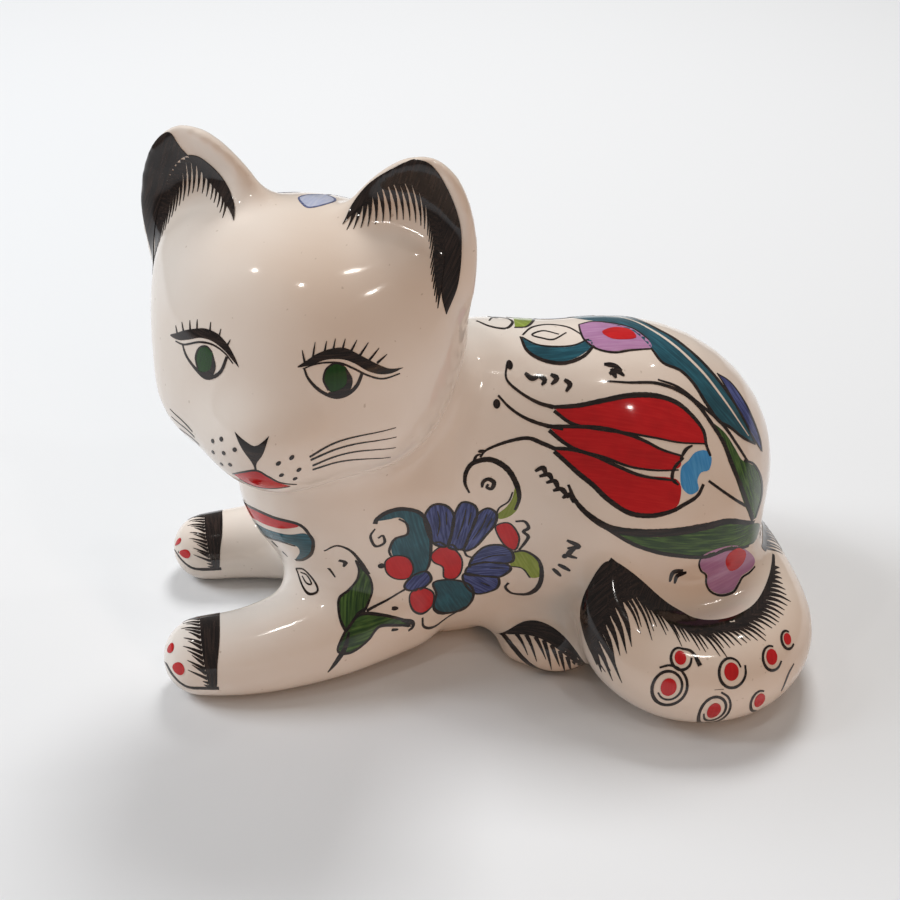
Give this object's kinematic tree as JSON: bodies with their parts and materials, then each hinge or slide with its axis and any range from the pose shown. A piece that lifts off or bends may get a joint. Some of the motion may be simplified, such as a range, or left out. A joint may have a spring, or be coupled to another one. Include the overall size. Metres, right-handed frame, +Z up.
{
  "type": "cat figurine",
  "caption": "Glazed ceramic cat lying with its forepaws stretched out and its face turned to one side, hand-painted with tulips, leaves and scrolls.",
  "frame": {"origin": "middle of the vent hole's mouth in the flat base", "axes": "-X the way the body and forepaws point, -Y the side the face turns to, +Z up"},
  "size_m": [0.1716, 0.1052, 0.1404],
  "materials": {
    "glaze": "clear glossy glaze over warm ivory earthenware",
    "black_line": "brown-black outline colour under glossy glaze",
    "red": "raised red colour under glossy glaze",
    "blue": "brushed cobalt blue under glossy glaze",
    "teal": "brushed teal under glossy glaze",
    "green": "brushed leaf green under glossy glaze",
    "light_green": "light yellow-green under glossy glaze",
    "lilac": "lilac under glossy glaze",
    "sky_blue": "sky blue under glossy glaze"
  },
  "bodies": {
    "root": {"torso": "glaze", "head": "glaze", "ear_left": "glaze", "ear_right": "glaze", "foreleg_left": "glaze", "foreleg_right": "glaze", "hind_foot_left": "glaze", "hind_foot_right": "glaze", "tail": "glaze"}
  },
  "joints": []
}
